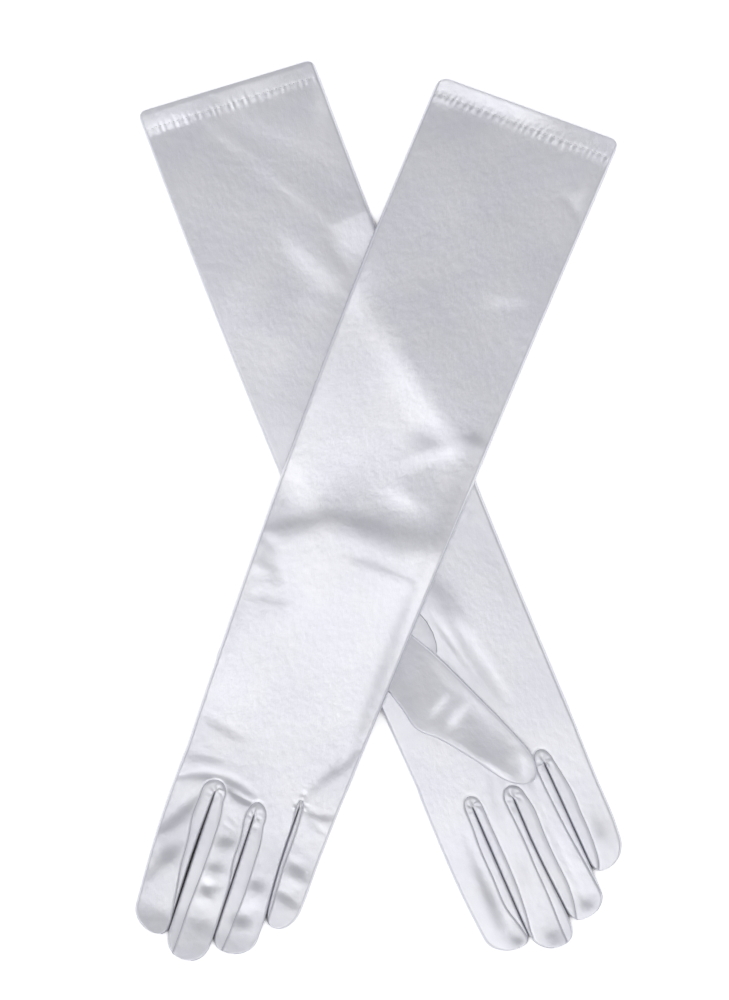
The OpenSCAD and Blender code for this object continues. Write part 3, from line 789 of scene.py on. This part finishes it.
def cloth_material(name, colour, tint, roughness, metallic, sheen, weave, weave_scale, anisotropy=0.0):
    """Woven cloth: long fine floats along the glove, slight colour and gloss variation."""
    m, nodes, links, bsdf = new_material(name)
    uv = nodes.new("ShaderNodeUVMap")
    uv.uv_map = "cloth"

    def noise(stretch, scale, detail):
        mapping = nodes.new("ShaderNodeMapping")
        put(mapping, {"Scale": stretch})
        tex = nodes.new("ShaderNodeTexNoise")
        put(tex, {"Scale": scale, "Detail": detail})
        links.new(uv.outputs["UV"], mapping.inputs["Vector"])
        links.new(mapping.outputs["Vector"], tex.inputs["Vector"])
        return tex.outputs["Fac"]

    stain = nodes.new("ShaderNodeValToRGB")
    for stop, position, shade in zip(stain.color_ramp.elements, (0.35, 0.65), (colour, tint)):
        stop.position = position
        stop.color = (*shade, 1)
    links.new(noise((1, 1, 1), 28.0, 3.0), stain.inputs["Fac"])
    links.new(stain.outputs["Color"], bsdf.inputs["Base Color"])
    fibres = noise((1, 0.06, 1), weave_scale, 2.0)
    map_range(m.node_tree, fibres, bsdf.inputs["Roughness"], (0, 1), (roughness - 0.05, roughness + 0.05))
    both = nodes.new("ShaderNodeMath")
    both.operation = "ADD"
    links.new(fibres, both.inputs[0])
    links.new(noise((0.5, 1, 1), weave_scale * 0.8, 1.0), both.inputs[1])
    rough = nodes.new("ShaderNodeMath")
    rough.operation = "MULTIPLY_ADD"
    rough.inputs[1].default_value = 5.0
    links.new(noise((1, 0.7, 1), 260.0, 4.0), rough.inputs[0])
    links.new(both.outputs["Value"], rough.inputs[2])
    bump = nodes.new("ShaderNodeBump")
    put(bump, {"Strength": weave, "Distance": 0.0001})
    links.new(rough.outputs["Value"], bump.inputs["Height"])
    links.new(bump.outputs["Normal"], bsdf.inputs["Normal"])
    put(bsdf, {"Metallic": metallic, "Sheen Weight": sheen, "Sheen Roughness": 0.4})
    if anisotropy:
        put(bsdf, {"Anisotropic": anisotropy})
        tangent = nodes.new("ShaderNodeTangent")
        tangent.direction_type = "UV_MAP"
        tangent.uv_map = "cloth"
        links.new(tangent.outputs["Tangent"], bsdf.inputs["Tangent"])
    return m


# name, colour, tint, roughness, metallic, sheen, strength and scale of the weave, anisotropy
SATIN = cloth_material("satin", (0.80, 0.80, 0.835), (0.775, 0.775, 0.83), 0.40, 0.72, 0.1, 0.25, 3800.0, 0.35)
INSIDE = cloth_material("satin_inside", (0.74, 0.74, 0.78), (0.70, 0.70, 0.75), 0.62, 0.0, 0.2, 0.35, 3000.0)
STRIP = cloth_material("fourchette", (0.79, 0.79, 0.825), (0.765, 0.765, 0.82), 0.42, 0.68, 0.1, 0.3, 3400.0, 0.3)
ELASTIC = cloth_material("elastic", (0.82, 0.82, 0.82), (0.74, 0.74, 0.76), 0.7, 0.0, 0.1, 0.6, 1500.0)
THREAD = cloth_material("thread", (0.42, 0.42, 0.48), (0.50, 0.50, 0.56), 0.55, 0.1, 0.1, 0.4, 6000.0)
WHITE_THREAD = cloth_material("white_thread", (0.90, 0.90, 0.93), (0.95, 0.95, 0.97), 0.5, 0.1, 0.1, 0.4, 6000.0)
LABEL_CLOTH = cloth_material("label_cloth", (0.86, 0.86, 0.85), (0.80, 0.80, 0.80), 0.6, 0.0, 0.1, 0.3, 2500.0)
SKIN = (SATIN, INSIDE)


# ---------------------------------------------------------------- pieces
def joint_at(g, name):
    """(s, u) of a joint on glove g."""
    return unplace(g, *(np.array(joints[name]["pos_m"][:2]) / MM))


def blend_between(obj, start, end):
    """Bakes a piece's placement into its mesh; start and end are not used."""
    start, end = ((x * MM, y * MM, HINGE_Z * MM) for x, y in (start, end))
    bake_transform(obj)


def blend_along(obj, g, a, b, s0, s1, u=0.0):
    blend_between(obj, place(g, s0, u), place(g, s1, u))


def follow(obj, g, part):
    """Makes a piece of the cuff, forearm or right hand part of glove g move with its body; an upper sleeve or
    left hand piece only has its placement baked into its mesh.
    """
    cuff, arm = SIDES[g] + "_cuff", SIDES[g] + "_glove"
    if part == "cuff":
        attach(obj, cuff)
    elif part == "upper":
        blend_along(obj, g, cuff, arm, *CUFF_FOLD)
    elif part == "hand" and g == LEFT:
        bend = joint_at(LEFT, "left_wrist_bend")[0]
        blend_along(obj, g, arm, HAND_BODY[g], bend, bend + WRIST_BEND_LEN)
    else:
        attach(obj, arm)


def follow_finger(obj, g, finger):
    body = SIDES[g] + "_" + finger
    s, u = joint_at(g, body + ("_lift", "_curl")[g])
    blend_along(obj, g, HAND_BODY[g], body, s + FINGER_BLEND[0], s + FINGER_BLEND[1], u)


def stand_for(node):
    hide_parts(node)


def build_glove(g):
    side = SIDES[g]
    # the rows are closer together at the hem's puckers
    hem_rows = np.concatenate([np.arange(0, 22, 0.9), tube_rows(22.5, CUFF_END)])
    parts = (
        ("upper", "_upper_sleeve_cloth", "_upper_sleeve", tube_patches(g, hem_rows, True)),
        ("forearm", "_forearm_cloth", "_forearm_sleeve", tube_patches(g, tube_rows(CUFF_END, WRIST_SEAM))),
        ("hand", "_hand_cloth", "_hand", tube_patches(g, tube_rows(WRIST_SEAM, SPLIT[g]))),
    )
    fingers = [finger_patches(g, i) for i in range(4)]
    shared_normals([p[3] for p in parts] + [f[0] for f in fingers])
    for part, name, node, patches in parts:
        obj = shell(side + name, patches, SKIN)
        follow(obj, g, part)
        stand_for(side + node)
    for i, (finger, (panel, strips)) in enumerate(zip(FINGERS, fingers)):
        name = side + "_" + finger + "_finger"
        obj = shell(name + "_cloth", panel, SKIN)
        follow_finger(obj, g, finger)
        stand_for(name)
        for towards_little, patches in strips:
            shared_normals([patches])
            node = fourchette_node(side, i, towards_little)
            strip = shell(node + "_cloth", patches, (STRIP, INSIDE))
            follow_finger(strip, g, finger)
            stand_for(node)


def fourchette_node(side, i, towards_little):
    if i == 0:
        return side + "_fourchette_index"
    if i == 3:
        return side + "_fourchette_little"
    neighbour = FINGERS[i + 1] if towards_little else FINGERS[i - 1]
    return f"{side}_fourchette_{FINGERS[i]}_{neighbour}_side"


def stage():
    scene = bpy.context.scene
    size = 3.0
    mesh = bpy.data.meshes.new("floor")
    corners = [(-size, -size, 0), (size, -size, 0), (size, size, 0), (-size, size, 0)]
    mesh.from_pydata(corners, [], [[0, 1, 2, 3]])
    floor = bpy.data.objects.new("floor", mesh)
    floor.location.z = -0.0002
    scene.collection.objects.link(floor)
    m, nodes, _, bsdf = new_material("floor")
    put(bsdf, {"Roughness": 0.9, "Emission Color": (1, 1, 1, 1)})
    # painted shade: ambient occlusion darkens the floor's colour and glow where the cloth closes over it, in the
    # slits
    closed = nodes.new("ShaderNodeAmbientOcclusion")
    put(closed, {"Distance": 0.012})
    map_range(m.node_tree, closed.outputs["AO"], bsdf.inputs["Emission Strength"], (0.22, 0.46), (0, 0.45))
    map_range(m.node_tree, closed.outputs["AO"], bsdf.inputs["Base Color"], (0.20, 0.40), (0.06, 0.97))
    mesh.materials.append(m)
    cam_data = bpy.data.cameras.new("camera")
    cam = bpy.data.objects.new("camera", cam_data)
    scene.collection.objects.link(cam)
    # straight above the gloves, with this much of the floor from top to bottom of the picture
    height, seen = 4.5, 0.6017
    cam_data.sensor_fit = "VERTICAL"
    cam_data.sensor_height = 24.0
    cam_data.lens = 24.0 * height / seen
    cam.location = (-0.0093, 0.0051, height + 0.006)
    scene.camera = cam

    # area lights, turned to the gloves: place, size, power
    for name, at, sizes, power in (
        ("front_softbox", (-0.30, -1.05, 4.4), (3.0, 1.2), 40),
        ("back_fill", (0.6, 2.2, 1.6), (1.8, 1.0), 8),
    ):
        data = bpy.data.lights.new(name, "AREA")
        data.shape = "RECTANGLE"
        data.size, data.size_y = sizes
        data.energy = power
        light = bpy.data.objects.new(name, data)
        light.location = at
        light.rotation_euler = (-Vector(at)).to_track_quat("-Z", "Y").to_euler()
        scene.collection.objects.link(light)
    world = bpy.data.worlds.new("studio")
    world.use_nodes = True
    nodes, links = world.node_tree.nodes, world.node_tree.links
    back = nodes["Background"]
    put(back, {"Color": (0.95, 0.96, 1.0, 1)})
    way = nodes.new("ShaderNodeTexCoord")
    split = nodes.new("ShaderNodeSeparateXYZ")
    links.new(way.outputs["Generated"], split.inputs["Vector"])
    level = map_range(world.node_tree, split.outputs["Z"], back.inputs["Strength"], (0.35, 0.88), (1.0, 0.24))
    level.interpolation_type = "SMOOTHSTEP"
    scene.world = world
    scene.view_settings.view_transform = "Standard"


# ---------------------------------------------------------------- cuff trim
def inset_points(g, s, u, off):
    """Points of the cloth tube shrunk evenly by off towards the middle of its section."""
    top, bottom, cloth = skin_points(g, s, u)
    mid = (top[..., 2] + bottom[..., 2]) / 2
    x = 1 - off / half_w(g, s)
    t2, b2, _ = skin_points(g, s, u * x)
    half = thickness(g, s) / 2
    keep = np.clip(1 - off / half, 0.05, 1)
    t2[..., 2] = mid + (top[..., 2] - mid) * keep
    b2[..., 2] = mid + (bottom[..., 2] - mid) * keep
    return t2, b2, cloth


def ring_piece(name, g, rows, offs, mats, thick):
    x = tube_columns(g)
    s, xs = np.meshgrid(np.asarray(rows, float), x, indexing="ij")
    top, bottom, cloth = inset_points(g, s, xs * half_w(g, s), np.array(offs)[:, None])
    patches = [Patch(top, cloth, False), Patch(bottom, cloth, True)]
    shared_normals([patches])
    return shell(name, patches, mats, thick)


def build_cuff(g):
    side = SIDES[g]
    # the hem's turned lip and its inner side: (s, how far inside the cloth)
    lip = [(0.0, 0.42), (-0.35, 0.5), (-0.5, 0.75), (-0.4, 1.0), (0.0, 1.15), (0.8, 1.22)]
    lip += [(s, 1.22) for s in np.linspace(2, HEM, 7)]
    hem = ring_piece(side + "_hem_cloth", g, *zip(*lip), (SATIN, SATIN), -0.28)
    rows = np.linspace(1.6, 9.0, 8)
    elastic = ring_piece(side + "_elastic_band", g, rows, [0.62] * 8, (ELASTIC, ELASTIC), 0.3)
    w = half_w(g, HEM)
    lines = []
    for u in np.arange(-w + 2.0, w - 2.0, 2.7):
        top, bottom, _ = skin_points(g, np.full(5, HEM), u + np.array([-0.95, -0.6, 0.0, 0.6, 0.95]))
        rise = np.array([-0.35, 0.0, 0.12, 0.0, -0.35])
        top[:, 2] += rise
        bottom[:, 2] -= rise
        lines += [top, bottom]
    stitches = thread(side + "_hem_stitches", lines, 0.17, WHITE_THREAD)
    for obj, node, slot in (
        (hem, "_cuff_hem", "satin"),
        (elastic, "_cuff_elastic", "elastic"),
        (stitches, "_hem_stitching", "thread"),
    ):
        follow(obj, g, "cuff")
        stand_for(side + node)


def build_side_seam(g, part, s0, s1):
    """Seam allowance inside the little-finger edge, and the seam's thread outside it."""
    name = f"{SIDES[g]}_{part}_seam"
    rows = np.linspace(s0, s1, int((s1 - s0) / 3) + 2)
    w = half_w(g, rows)
    us = np.stack([w - 6.2, w - 4.5, w - 2.8, w - 1.4], 1)
    _, bottom, cloth = inset_points(g, np.repeat(rows[:, None], 4, 1), us, 0.8)
    patch = Patch(bottom, cloth, False)
    shared_normals([[patch]])
    ribbon = shell(name, [patch], (INSIDE, INSIDE), -0.35)
    top, low, _ = skin_points(g, rows, w)
    line = (top + low) / 2
    line[:, 0], line[:, 1] = place(g, rows, w + 0.02)
    cord = thread(name + "_thread", [line], 0.16, WHITE_THREAD)
    for obj, slot in ((ribbon, "satin_inside"), (cord, "thread")):
        follow(obj, g, part)
        stand_for(f"{SIDES[g]}_{part}_side_seam")


def build_label():
    """A blank care label, sewn at one end into the side seam."""
    s0, u0 = LABEL_AT
    rows = np.linspace(s0 - LABEL[1] / 2, s0 + LABEL[1] / 2, 9)
    s, u = np.meshgrid(rows, np.linspace(u0, u0 + LABEL[0], 15), indexing="ij")
    _, tape, cloth = skin_points(RIGHT, s, u)
    tape[..., 2] = 1.1 + 0.35 * np.sin((u - u0) / 5.5) ** 2 + 0.15 * np.sin(s / 3.0)
    patch = Patch(tape, cloth, False)
    shared_normals([[patch]])
    label = shell("right_care_label_tape", [patch], (LABEL_CLOTH, LABEL_CLOTH), -0.2)
    follow(label, RIGHT, "cuff")
    stand_for("right_care_label")


def build_finger_seams(g):
    """The fine sewn lines along the fingers, on the back and the palm."""
    for i, finger in enumerate(FINGERS):
        lines = []
        rows = finger_rows(g, i)
        for k, towards_little in crotches_of(i):
            c = CROTCHES[g][k]
            keep = rows[(rows >= c["start"] - c["arch"]) & (rows < TIPS[g][i] - 0.8)]
            top, bottom, _ = finger_points(g, keep, seam_u(g, i, towards_little, keep), i)
            top[:, 2] -= 0.06
            bottom[:, 2] += 0.06
            lines += [top, bottom]
        seams = thread(f"{SIDES[g]}_{finger}_seam_thread", lines, 0.2, THREAD)
        follow_finger(seams, g, finger)


# ---------------------------------------------------------------- thumbs
# Both edges of the thumb (t along it from its root, v across it)
THUMB_HI = ((-24, 18.6), (0, 19.3), (35, 17.6), (60, 16), (78, 14.2), (96, 12))
THUMB_LO = (
    (-24, -14), (-6, -16.2), (8, -18.8), (22, -21.8), (26, -21), (34, -17.9), (51, -14.1), (73, -10.9),
    (96, -7.6),
)
THUMB_TIP = 17.0
THUMB_BACK = 19.0
THUMB_COLUMNS = -np.cos(np.linspace(0, math.pi, 45))
THUMB_CREASE = ((26, -19.0), (88, -6.8), 0.7, -0.22)
THUMB_LEAN_FOLDS = [
    ((23.5, -11), (22, 7), 2.8, 6.6), ((35, -10), (35, 11), 3.4, 7.4), ((44, -8), (80, -2), 7, -2.2),
    ((-8, -10), (16, -10), 9, -1.4), ((0, 15), (86, 11), 5, 4.6), ((22, -17), (88, -5), 1.6, 4),
    ((80, 9), (92, -1), 2.6, 6), ((74, 0), (82, 8), 3.5, 3), ((92, -6), (60, -11), 2.5, 3),
]


def thumb_place(g, t, v):
    h = HEAD[g] + BEND * THUMB_ROOT[0] / GLOVE_LEN + THUMB_LEAN
    x0, y0 = place(g, *THUMB_ROOT)
    al, ac = along(h), across(h)
    return x0 + al[0] * t + ac[0] * v, y0 + al[1] * t + ac[1] * v


def thumb_points(g, t, x, cut=None, shade=False):
    """Top and bottom of the thumb at t along it and x across it, from -1 to 1."""
    q = np.clip((t - THUMB_LEN + THUMB_TIP) / THUMB_TIP, 0, 1)
    lo, hi = through(THUMB_LO, t), through(THUMB_HI, t)
    if g == LEFT:
        back = np.sqrt(np.clip(1 - (np.clip(-t, 0, None) / THUMB_BACK) ** 2, 0, 1))
        lo, hi = mix(0, lo, back), mix(0, hi, back)
    close = np.sqrt(np.clip(1 - q * q, 0, 1))
    mid, half = (lo + hi) / 2, (hi - lo) / 2
    v = mid + half * close * x
    f = rolled(half * close * (1 - np.abs(x)), 1.3 if shade else 3.6) * close
    if g == LEFT:
        f = f * rolled(np.clip(t + THUMB_BACK, 0, None), 6)
    z0 = np.full(v.shape, THUMB_Z[g])
    c = np.full(v.shape, THUMB_T)
    if cut is not None and not shade:
        near = ramp((t - cut) / np.minimum(12, -2 - cut))
        z0, c = mix(7.0, z0, near), mix(1.7, c, near)
    top = z0 + c * (0.5 + 0.5 * f)
    if g == RIGHT:
        top = top + (fold(t, v, *THUMB_CREASE) + 0.05 * np.sin(t / 5 + v / 3)) * f
    bottom = z0 + c * (0.5 - 0.5 * f)
    px, py = thumb_place(g, t, v)
    cloth = np.stack([v, t], -1)
    return np.stack([px, py, top], -1), np.stack([px, py, bottom], -1), cloth


def thumb_patches(g, t, xs, cut=None):
    top, bottom, cloth = thumb_points(g, t, xs, cut)
    if g == LEFT:
        return [Patch(top, cloth, False), Patch(bottom, cloth, True)]
    shade = thumb_points(g, t, xs, cut, True)[0]
    v = cloth[..., 0]
    a = np.tan(np.radians(shapes(t, v, THUMB_LEAN_FOLDS, []) - 5.4)) * rolled((1 - np.abs(xs)) * 14, 1.5)
    leans = np.stack([0.25 * a, -0.97 * a, 0 * a], -1).reshape(-1, 3)
    return [Patch(top, cloth, False, shade, leans), Patch(bottom, cloth, True)]


def base_patches():
    """The thumb's base on the right glove, up to where the left glove covers it."""
    r, xs = np.meshgrid(np.linspace(0, 1, 12), THUMB_COLUMNS, indexing="ij")
    v = mix(through(THUMB_LO, -8.0), through(THUMB_HI, -8.0), (xs + 1) / 2)
    cut = -6.2 - (v + 16) * 0.362 - 0.6
    return thumb_patches(RIGHT, mix(cut, -2.0, r), xs, cut)


# The seam of the gusset in the palm (s, u)
GUSSET = ((366.5, -9.6), (362.5, -7.6), (358.3, -6.3), (351.6, -5.6), (344.2, -6.5), (340, -7.7), (337.2, -8.9))


def gusset_patch():
    """The cloth between the thumb's edge and its seam in the palm."""
    f = np.linspace(0, 1, 25)
    knots = np.linspace(0, 1, len(GUSSET))
    sx, sy = place(RIGHT, *(np.interp(f, knots, line) for line in zip(*GUSSET)))
    t = mix(3.0, -18.0, f)
    ex, ey = thumb_place(RIGHT, t, through(THUMB_HI, t) - 2.5)
    r = np.linspace(0, 1, 10)
    x = mix(ex[:, None], sx[:, None], r[None])
    y = mix(ey[:, None], sy[:, None], r[None])
    s, u = unplace(RIGHT, x, y)
    _, palm = heights(RIGHT, s, u)
    rise = 1.3 * (1 - r[None] ** 2) * ramp(f[:, None] / 0.2)
    z = palm + 0.12 + rise * (1 - 0.5 * ramp((f[:, None] - 0.6) / 0.4))
    points = np.stack([x, y, z], -1)
    flat = np.stack([x, y, 0.15 * z], -1)
    return Patch(points, np.stack([s, u], -1), True, flat)


def build_thumbs():
    straight = THUMB_LEN - THUMB_TIP
    tip = straight + THUMB_TIP * np.sin(np.radians((0, *TIP_ANGLES)))
    back = -THUMB_BACK * np.cos(np.radians([0, 12, 24, 36, 48, 60, 72]))
    rows = {
        RIGHT: np.concatenate([np.linspace(-2.0, straight, 52)[:-1], tip]),
        LEFT: np.concatenate([back, np.linspace(-4, straight, 46)[:-1], tip]),
    }
    for g, blend_from in ((RIGHT, -2.0), (LEFT, -12.0)):
        name = SIDES[g] + "_thumb"
        patches = thumb_patches(g, *np.meshgrid(rows[g], THUMB_COLUMNS, indexing="ij"))
        base = base_patches() if g == RIGHT else []
        shared_normals([patches, base])
        obj = shell(name + "_cloth", patches, SKIN)
        blend_between(obj, thumb_place(g, blend_from, 0.0), thumb_place(g, 14.0, 0.0))
        stand_for(name)
        if g == RIGHT:
            gusset = gusset_patch()
            shared_normals([[gusset]])
            line = gusset.points.reshape(25, 10, 3)[3:, -1] + np.array([0, 0, 0.12])
            pieces = (
                (shell("right_thumb_base_cloth", base, SKIN), "satin"),
                (shell("right_thumb_gusset", [gusset], SKIN), "satin"),
                (thread("right_thumb_gusset_thread", [line], 0.22, THREAD), "thread"),
            )
        else:
            pieces = ((left_thumb_base(), "satin"),)
        for piece, slot in pieces:
            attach(piece, HAND_BODY[g])
            stand_for(name + "_base")


def left_thumb_base():
    """The gathered cloth where the hidden thumb is sewn into the palm: a ring round its root."""
    a, r = np.meshgrid(np.radians(np.linspace(75, 285, 43)), np.linspace(0, 1, 9), indexing="ij")
    size = mix(17.0, 25.0, r)
    x, y = thumb_place(LEFT, size * np.cos(a), size * np.sin(a))
    bulge = np.sin(math.pi * r) ** 0.6
    end = ramp((a - a[0, 0]) / 0.35) * ramp((a[-1, 0] - a) / 0.35)
    low = 2.6 - (1.9 + 0.15 * np.sin(a * 14)) * bulge * end
    high = 2.6 + 1.5 * bulge * end
    cloth = np.stack([a * 20, size], -1)
    patches = [Patch(np.stack([x, y, high], -1), cloth, True), Patch(np.stack([x, y, low], -1), cloth, False)]
    shared_normals([patches])
    return shell("left_thumb_base_cloth", patches, SKIN, 0.3)


for glove in (RIGHT, LEFT):
    build_glove(glove)
    build_cuff(glove)
    build_side_seam(glove, "upper", HEM + 4, CUFF_END)
    build_side_seam(glove, "forearm", CUFF_END, WRIST_SEAM)
    build_side_seam(glove, "hand", WRIST_SEAM, SPLIT[glove] - 2)
    build_finger_seams(glove)
build_thumbs()
build_label()
stage()
